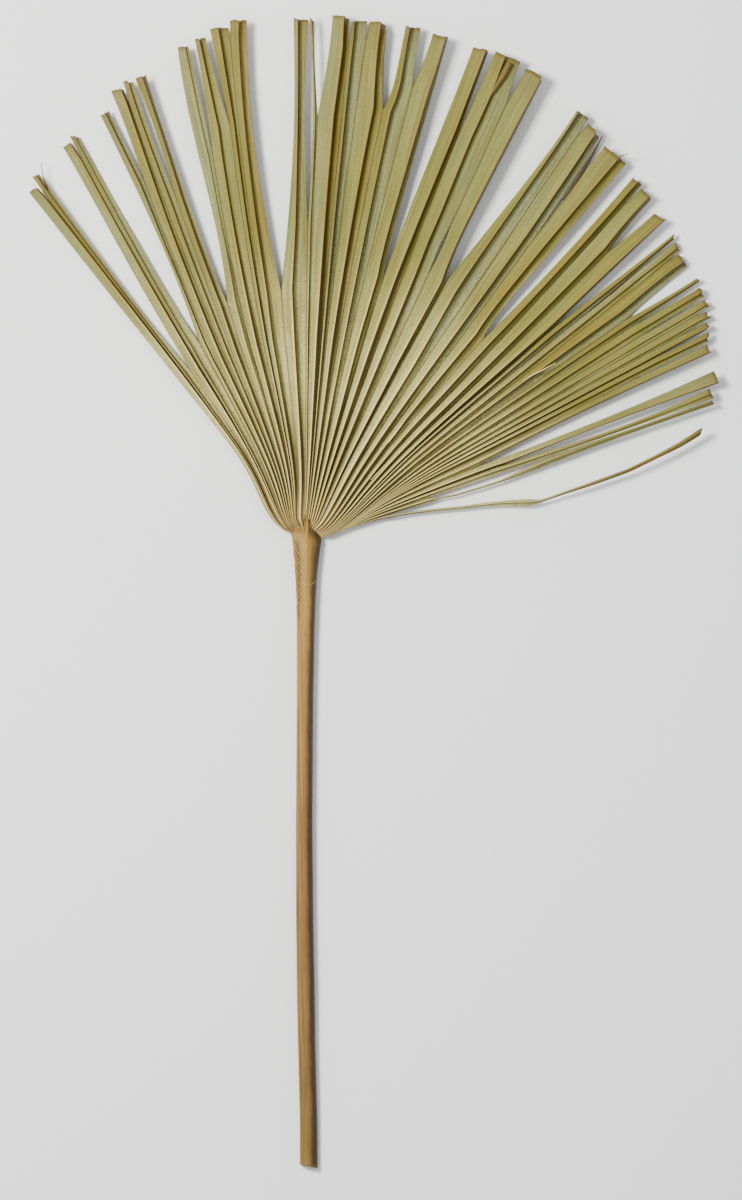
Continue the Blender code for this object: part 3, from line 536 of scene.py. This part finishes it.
def fold_surface(number):
    """A fold as a grid: v runs out from the hub and u across. The left face climbs to the ridge almost
    straight, the right face drops steeply beside the ridge and then runs flat to its valley."""
    strand = STRANDS[number - len(FOLDS)] if number >= len(FOLDS) else None
    columns = len(LEFT_SHARES) + len(RIGHT_SHARES)
    out = np.linspace(0.0, 1.0, ROWS)[:, None] ** 1.25
    snips = np.cumsum(fan_rng.normal(0.0, 0.00028, columns))
    slant = fan_rng.uniform(-0.0011, 0.0011) * np.linspace(-1.0, 1.0, columns)
    withered = 0.010 + 0.025 * (number * 0.618 % 1.0)
    reach = strand["path"][-1, 0] if strand else FOLDS[number, 7]
    cut = (reach + slant + snips - snips.mean())[None, :]
    edges = [STRANDS[0]["crease"], STRANDS[1]["crease"], LAST_CREASE]
    if strand:
        low_edge, high_edge = edges[number - len(FOLDS)], edges[number - len(FOLDS) + 1]
    else:
        low_edge = FOLDS[number, 0]
        high_edge = FOLDS[number + 1, 0] if number + 1 < len(FOLDS) else edges[0]
    begin = np.interp(np.interp([low_edge, high_edge], SPLAY[:, 0], SPLAY[:, 1]).mean(), *RIB_STARTS.T)
    radius = begin + (cut - begin) * out
    if strand:
        middle, width = (np.interp(radius, strand["path"][:, 0], strand["path"][:, k]) for k in (1, 2))
        free = ease((radius - strand["free"]) / 0.010)
        half = np.degrees(0.5 * width / radius)
        left = crease_line(low_edge, low_edge, 9.0, radius)
        right = crease_line(high_edge, high_edge, 9.0, radius)
        left = left + (middle - half - left) * free
        right = right + (middle + half - right) * free
        ridge_share = 0.45 + 0.0 * radius
        whole_left = 1.0 - ease((radius - STRANDS[0]["free"]) / 0.03)
        whole_right = 0.0
        rise, last_rise, next_rise = strand["rise"], 0.0060, strand["rise"]
        left_grey, left_tan, right_grey, right_tan = strand["colour"]
        groove_size = 0.0006
        rests = False
        browned = ease((radius - strand["browned"]) / 0.012)
    else:
        browned = 0.0 * radius
        row = FOLDS[number]
        after = FOLDS[number + 1] if number + 1 < len(FOLDS) else STRAND_SLIT
        left = slit_edge(row, number, 1, radius, reach)
        right = slit_edge(after, number + 1, -1, radius, reach)
        inner = (row[5] - row[0]) / (after[0] - row[0])
        outer = (row[6] - row[4]) / (after[3] - row[4])
        past_layout = np.clip((radius - LAYOUT_RADIUS) / (reach - LAYOUT_RADIUS), 0.0, 1.0)
        ridge_share = np.clip(inner + (outer - inner) * past_layout, 0.08, 0.94)
        whole_left = 1.0 - ease((radius - row[2]) / 0.03) if row[2] < 1.0 else 0.0
        whole_right = 1.0 - ease((radius - after[2]) / 0.03)
        rise, last_rise = row[8], FOLDS[max(number - 1, 0), 8]
        next_rise = FOLDS[min(number + 1, len(FOLDS) - 1), 8]
        left_grey, left_tan, right_grey, right_tan = row[9:13]
        groove_size = 0.001 * row[13]
        rests = number in RESTING_FOLDS
    shares = np.concatenate([LEFT_SHARES, 1.0 + RIGHT_SHARES])[None, :]
    on_left = shares < 1.0
    across = np.where(on_left, shares * ridge_share, ridge_share + (shares - 1.0) * (1.0 - ridge_share))
    span = np.maximum(right - left, 0.02)
    width = np.radians(span) * radius
    angle = left + span * across
    grow = ease((radius - FAN_START) / 0.105)
    depth = np.minimum(0.0018 + 0.0054 * grow, 1.7 * width * np.maximum(ridge_share, 1.0 - ridge_share))
    depth = depth * (1.0 - FLATTER.get(number, 0.30) * ease((radius - 0.120) / 0.110))
    climb = np.clip(shares, 0.0, 1.0) ** 0.92
    past = np.clip(shares - 1.0, 0.0, 1.0)
    right_width = np.maximum(width * (1.0 - ridge_share), 1e-5)
    steep = np.clip((0.0004 + 0.9 * groove_size) / right_width, 0.16, 0.80)
    drop = 1.0 - 0.86 * ease(past / steep) - 0.14 * past
    rise_left = rise + 0.5 * (last_rise - rise) * whole_left
    rise_right = rise + 0.5 * (next_rise - rise) * whole_right
    floor = valley_height(radius, rise_left + (rise_right - rise_left) * across, rests)
    height = floor + depth * np.where(on_left, climb, drop)
    from_ridge = (across - ridge_share) * width
    rib_width = np.minimum(0.00075, 0.00016 + 0.09 * width * ridge_share)
    height = height + 0.00030 * bell((from_ridge + 0.4 * rib_width) / rib_width) * grow
    height = height + 0.0003 * ripple(across * 3.0, radius * 70.0, 100 + number) * grow
    height = height - 0.0024 * (1.0 - ease((radius - begin) / 0.0050))
    near = 1.0 - ease((radius - 0.030) / 0.085)
    far = ease((radius - 0.120) / 0.110)
    groove_width = np.clip(0.75 * right_width, 0.0001, groove_size * (1.0 + 0.8 * near - 0.35 * far))
    to_valley = np.minimum(across, 1.0 - across) * width
    fade = 1.0 - ease((radius - 0.095) / 0.125)
    level = np.where(on_left, climb, drop)
    whole = np.where(across < 0.5, whole_left, whole_right)
    masks = {
        "rib": bell((from_ridge + 0.55 * rib_width) / rib_width) * (from_ridge < 0.15 * rib_width),
        "warm": bell(from_ridge / 0.0016) * (from_ridge < 0.0) * grow,
        # painted shade: a dark brown band on the steep right face beside each ridge
        "groove_shade": ease((from_ridge + 0.05 * groove_width) / (0.2 * groove_width))
                  * ease((groove_width * 1.5 - from_ridge) / (0.9 * groove_width)),
        # painted shade: a thin dark line along each valley
        "crease": bell(to_valley / 0.00030) * whole * (0.4 + 0.6 * grow),
        "grey": np.where(on_left, left_grey + 0.25 * (1.0 - shares) ** 2, right_grey) * (1.0 - browned)
                + 0.22 * far * ease((-12.0 - angle) / 20.0),
        "tan": np.where(on_left, left_tan, right_tan) * (1.0 - browned) + browned,
        "brown": browned + 0.0 * across,
        "inner": fade + 0.0 * across,
        # darker paint on the outer fingers: partly a darker colour on the right-hand fingers, partly painted
        # shade that dims the fingers near 20 degrees, which face the light
        "olive_and_shade": far * (0.25 + 0.75 * bell((angle - 20.0) / 14.0) + 0.5 * ease((angle - 48.0) / 12.0)),
        "tip": np.maximum(ease((radius - cut + 0.0012) / 0.0012),
                          0.45 * ease((radius - cut + withered) / withered)),
        # painted shade: the low parts of the pleats near the hub are painted dark
        "deep_shade": near * (1.0 - ease((level - 0.20) / 0.50)),
        "hub": 1.0 - ease((radius - 0.012) / 0.026) + 0.0 * across,
    }
    bearing = np.radians(angle)
    top = np.stack([HUB[0] + radius * np.sin(bearing), HUB[1] + radius * np.cos(bearing), height], axis=-1)
    run = np.stack([number * 13.0 + across * 7.0, radius * 1000.0 + 0.0 * across], axis=-1)
    return top, masks, run


def shell_faces(rows, columns, offset):
    """Quads of a closed thin sheet: the top grid, the lower grid turned over, and a rim round both."""
    index = np.arange(rows * columns).reshape(rows, columns) + offset
    below = rows * columns
    a, b, c, d = index[:-1, :-1], index[:-1, 1:], index[1:, 1:], index[1:, :-1]
    top = np.stack([a, b, c, d], axis=-1).reshape(-1, 4)
    under = np.stack([a, d, c, b], axis=-1).reshape(-1, 4) + below
    ring = np.concatenate([index[0, :-1], index[:-1, -1], index[-1, :0:-1], index[:0:-1, 0]])
    after = np.roll(ring, -1)
    rim = np.stack([ring, ring + below, after + below, after], axis=-1)
    return np.concatenate([top, under, rim])[:, ::-1]


def join_sheets(name, sheets, thickness):
    """One piece out of several thin sheets, each given as its top grid, its masks and its run."""
    points, quads, runs = [], [], []
    kept = {}
    offset = 0
    for top, masks, run in sheets:
        rows, columns = top.shape[:2]
        points += [top.reshape(-1, 3), top.reshape(-1, 3) - np.array([0.0, 0.0, thickness])]
        quads.append(shell_faces(rows, columns, offset))
        runs += [run.reshape(-1, 2)] * 2
        for key, values in masks.items():
            kept.setdefault(key, []).extend([np.broadcast_to(values, (rows, columns)).ravel()] * 2)
        offset += 2 * rows * columns
    kept = {key: np.concatenate(values) for key, values in kept.items()}
    return add_piece(name, np.concatenate(points), np.concatenate(quads), kept, np.concatenate(runs))


# Scraps that hang on by one end or rest on a fold: slivers, curled flaps, a hair, a nib and three scars.
# Each has rows of radius, angle, width and height, and how strongly each mask of the leaf shows on it.
SCRAPS = (
    dict(piece="fan_right", look=dict(groove_shade=1.00, deep_shade=1.0), path=np.array([
        (0.284, 37.45, 0.0016, 0.0097), (0.298, 37.25, 0.0022, 0.0100), (0.310, 37.0, 0.0021, 0.0104),
        (0.322, 36.75, 0.0015, 0.0108), (0.334, 36.4, 0.0006, 0.0112)])),
    dict(piece="fan_right", look=dict(groove_shade=1.00), path=np.array([
        (0.3260, 39.30, 0.0008, 0.0137), (0.3305, 39.50, 0.0007, 0.0140), (0.3350, 39.95, 0.0006, 0.0146)])),
    dict(piece="fan_middle", look=dict(groove_shade=0.55, tan=1.0), path=np.array([
        (0.3120, 22.3, 0.0008, 0.0150), (0.3230, 22.7, 0.0034, 0.0158), (0.3360, 23.1, 0.0048, 0.0164),
        (0.3455, 23.2, 0.0040, 0.0168)])),
    dict(piece="fan_middle", look=dict(groove_shade=0.45, tan=1.0), path=np.array([
        (0.2860, 9.9, 0.0006, 0.0080), (0.2980, 9.7, 0.0022, 0.0082), (0.3110, 9.3, 0.0030, 0.0090),
        (0.3250, 9.05, 0.0022, 0.0100), (0.3440, 8.95, 0.0012, 0.0106)])),
    dict(piece="fan_left", look=dict(groove_shade=1.00), path=np.array([
        (0.2900, -36.6, 0.0009, 0.0100), (0.2990, -36.0, 0.0007, 0.0106), (0.3070, -35.2, 0.0005, 0.0110)])),
    dict(piece="fan_left", look=dict(groove_shade=1.00, tan=0.5), path=np.array([
        (0.0150, -69.0, 0.0016, 0.0078), (0.0165, -68.0, 0.0014, 0.0082), (0.0178, -66.5, 0.0003, 0.0084)])),
    dict(piece="fan_right", look=dict(inner=1.0, rib=1.0), path=np.array([
        (0.0840, 40.9, 0.0003, 0.0118), (0.0900, 40.6, 0.0007, 0.0122), (0.0980, 40.3, 0.0006, 0.0122),
        (0.1030, 40.1, 0.0003, 0.0118)])),
    dict(piece="fan_right", look=dict(inner=1.0, rib=1.0), path=np.array([
        (0.0580, 48.2, 0.0002, 0.0086), (0.0640, 47.8, 0.0005, 0.0087), (0.0710, 47.4, 0.0005, 0.0085),
        (0.0780, 47.2, 0.0002, 0.0075)])),
    dict(piece="fan_right", look=dict(inner=1.0, rib=1.0), path=np.array([
        (0.1790, 54.1, 0.0003, 0.0098), (0.1870, 54.3, 0.0007, 0.0104), (0.1950, 54.7, 0.0007, 0.0104),
        (0.2040, 55.0, 0.0003, 0.0099)])),
)
LOOKS = ("rib", "warm", "groove_shade", "crease", "grey", "tan", "brown", "inner", "olive_and_shade", "tip", "deep_shade", "hub")


def scrap_surface(scrap, rows, columns):
    """A scrap as a grid: v runs along it and u across, slightly arched like the trough of a leaf."""
    share = np.linspace(0.0, 1.0, rows)
    steps = np.linspace(0.0, 1.0, len(scrap["path"]))
    radius, angle, width, height = (np.interp(share, steps, scrap["path"][:, k])[:, None] for k in range(4))
    across = np.linspace(-0.5, 0.5, columns)[None, :]
    bearing = np.radians(angle) + across * width / radius
    arch = height - 0.8 * width * (2.0 * across) ** 2 * 0.5
    top = np.stack([HUB[0] + radius * np.sin(bearing), HUB[1] + radius * np.cos(bearing), arch], axis=-1)
    masks = {key: np.full((rows, columns), scrap["look"].get(key, 0.0)) for key in LOOKS}
    run = np.stack([across * width * 1000.0 + 0.0 * radius, radius * 1000.0 + 0.0 * across], axis=-1)
    return top, masks, run


leaf_skin = bpy.data.materials.new("dry_leaf")
leaf_skin.use_nodes = True
tree = leaf_skin.node_tree
shader = tree.nodes["Principled BSDF"]
coarse, fine, patch, speckle = fibres(tree, 1.1, 4.6, 0.012, 1.0)
colour = wash(tree, mask(tree, "grey"), paint(119, 123, 40), paint(143, 152, 116))
colour = wash(tree, mask(tree, "tan", 0.75), colour, paint(142, 112, 44))
colour = wash(tree, mask(tree, "brown", 0.6), colour, paint(100, 76, 34))
colour = wash(tree, mask(tree, "inner", 0.90), colour, paint(221, 212, 138))
# Partly colour, partly painted shade on the outer fingers
colour = wash(tree, mask(tree, "olive_and_shade", 0.75), colour, paint(108, 106, 32))
colour = wash(tree, stretch(tree, patch, 0.45, 0.62, 0.0, 0.28), colour, paint(150, 124, 54))
colour = wash(tree, stretch(tree, coarse, 0.50, 0.64, 0.0, 0.50), colour, paint(104, 94, 34))
colour = wash(tree, stretch(tree, coarse, 0.50, 0.36, 0.0, 0.22), colour, paint(160, 164, 100))
colour = wash(tree, stretch(tree, fine, 0.50, 0.62, 0.0, 0.50), colour, paint(88, 82, 30))
colour = wash(tree, stretch(tree, speckle, 0.48, 0.60, 0.0, 0.36), colour, paint(92, 88, 36))
colour = wash(tree, times(tree, stretch(tree, speckle, 0.50, 0.64, 0.0, 0.7), mask(tree, "grey")),
              colour, paint(96, 96, 62))
# Painted shade along the valleys
colour = wash(tree, mask(tree, "crease", 0.75), colour, paint(62, 50, 16))
colour = wash(tree, mask(tree, "warm", 0.26), colour, paint(148, 124, 44))
colour = wash(tree, mask(tree, "rib", 0.36), colour, paint(142, 112, 38))
# Painted shade in the low parts of the pleats near the hub
colour = wash(tree, mask(tree, "deep_shade", 0.86), colour, paint(82, 66, 22))
colour = wash(tree, times(tree, mask(tree, "inner"), mask(tree, "rib", 0.95)), colour, paint(238, 216, 140))
# Painted shade beside each ridge
colour = wash(tree, mask(tree, "groove_shade", 0.88), colour, paint(58, 42, 12))
colour = wash(tree, mask(tree, "hub", 0.34), colour, paint(184, 144, 92))
colour = wash(tree, mask(tree, "tip", 0.6), colour, paint(88, 66, 26))
tree.links.new(colour, shader.inputs["Base Color"])
tree.links.new(stretch(tree, fine, 0.3, 0.7, 0.50, 0.66), shader.inputs["Roughness"])
shader.inputs["Specular IOR Level"].default_value = 0.30
normal = relief(tree, fine, 0.00035, 0.5)
normal = relief(tree, coarse, 0.0006, 0.35, normal)
tree.links.new(normal, shader.inputs["Normal"])

# The folds of each piece, by number, the two strands last
FAN_PARTS = {"fan_left": range(0, 12), "fan_middle": range(12, 26), "fan_right": range(26, 42)}
for name, numbers in FAN_PARTS.items():
    sheets = [fold_surface(number) for number in numbers]
    sheets += [scrap_surface(scrap, 40, 5) for scrap in SCRAPS if scrap["piece"] == name]
    piece = join_sheets(name, sheets, SHEET_THICKNESS)
    fit(piece, leaf_skin, "blade")

# The table, the light and the camera
# A plain pale table, one soft light from the upper left and an even glow all round.
# The camera hangs straight above, far off, as in the photograph.
FRAME_HEIGHT = 0.804
FRAME_CENTRE = (-0.00195, -0.00605)
CAMERA_DISTANCE = 6.0
SENSOR_SIZE = 36.0
TABLE_HALF = 3.0

floor_mesh = bpy.data.meshes.new("table_top")
corners = [(TABLE_HALF * x, TABLE_HALF * y, 0.0) for x, y in ((-1, -1), (1, -1), (1, 1), (-1, 1))]
floor_mesh.from_pydata(corners, [], [(0, 1, 2, 3)])
floor = bpy.data.objects.new("table_top", floor_mesh)
bpy.context.scene.collection.objects.link(floor)
floor_paint = bpy.data.materials.new("table_paint")
floor_paint.use_nodes = True
floor_shader = floor_paint.node_tree.nodes["Principled BSDF"]
floor_shader.inputs["Base Color"].default_value = (0.93, 0.93, 0.93, 1.0)
floor_shader.inputs["Roughness"].default_value = 0.9
floor_mesh.materials.append(floor_paint)

world = bpy.data.worlds.new("studio")
world.use_nodes = True
glow = world.node_tree.nodes["Background"]
glow.inputs["Color"].default_value = (0.95, 0.98, 1.0, 1.0)
glow.inputs["Strength"].default_value = 0.80
bpy.context.scene.world = world

key_data = bpy.data.lights.new("key", "AREA")
key_data.shape = "SQUARE"
key_data.size = 0.55
key_data.energy = 73.0
key_data.color = (1.0, 0.99, 0.96)
key = bpy.data.objects.new("key", key_data)
key.location = (-0.98, 0.56, 1.75)
bpy.context.scene.collection.objects.link(key)
aim = np.array([0.0, 0.05, 0.0]) - np.array(key.location)
tilt = math.acos(-aim[2] / np.linalg.norm(aim))
key.rotation_euler = (tilt, 0.0, math.atan2(aim[1], aim[0]) - math.pi / 2.0)

camera_data = bpy.data.cameras.new("camera")
camera_data.lens = SENSOR_SIZE * CAMERA_DISTANCE / FRAME_HEIGHT
camera_data.clip_end = 30.0
camera = bpy.data.objects.new("camera", camera_data)
camera.location = (*FRAME_CENTRE, CAMERA_DISTANCE)
bpy.context.scene.collection.objects.link(camera)
bpy.context.scene.camera = camera
